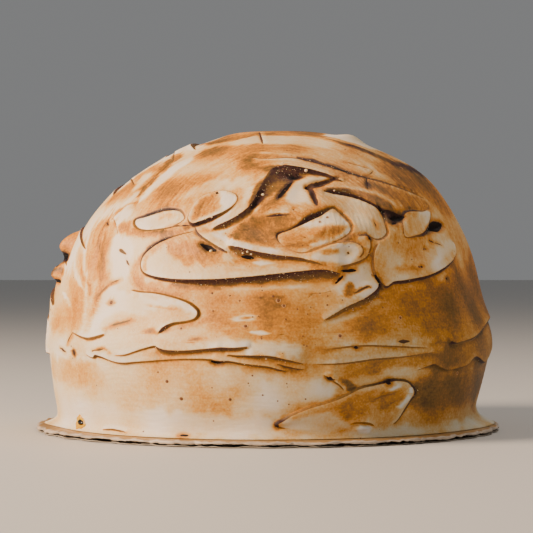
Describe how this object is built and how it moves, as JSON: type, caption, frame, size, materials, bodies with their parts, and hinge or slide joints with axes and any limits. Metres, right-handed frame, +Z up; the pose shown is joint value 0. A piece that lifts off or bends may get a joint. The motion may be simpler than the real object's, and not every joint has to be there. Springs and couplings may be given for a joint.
{
  "type": "baked alaska",
  "caption": "Uncut baked alaska: a tall round dome of spatula-swept, torch-browned meringue over ice cream cake, standing on a thin scalloped corrugated cake board.",
  "frame": {"origin": "centre of the cake board's underside, on the table", "axes": "+Z up, the cake's front faces -Y, +X to its right-hand side as seen from the front"},
  "size_m": [0.254, 0.254, 0.1628],
  "materials": {
    "torched_meringue": "soft satin meringue, cream where sheltered, torched amber to dark brown on its lips",
    "gold_board_paper": "satin, matt gold laminated paper",
    "fluting_paper": "matt brown corrugated medium",
    "white_board_paper": "matt bleached liner",
    "passion_fruit_curd": "glossy yellow curd",
    "passion_fruit_seed": "glossy black seed",
    "sugar_beads": "glossy cream beads of sugar syrup"
  },
  "bodies": {
    "root": {"meringue": "torched_meringue", "board_top_liner": "gold_board_paper", "board_flutes": "fluting_paper", "board_bottom_liner": "white_board_paper"}
  },
  "joints": []
}
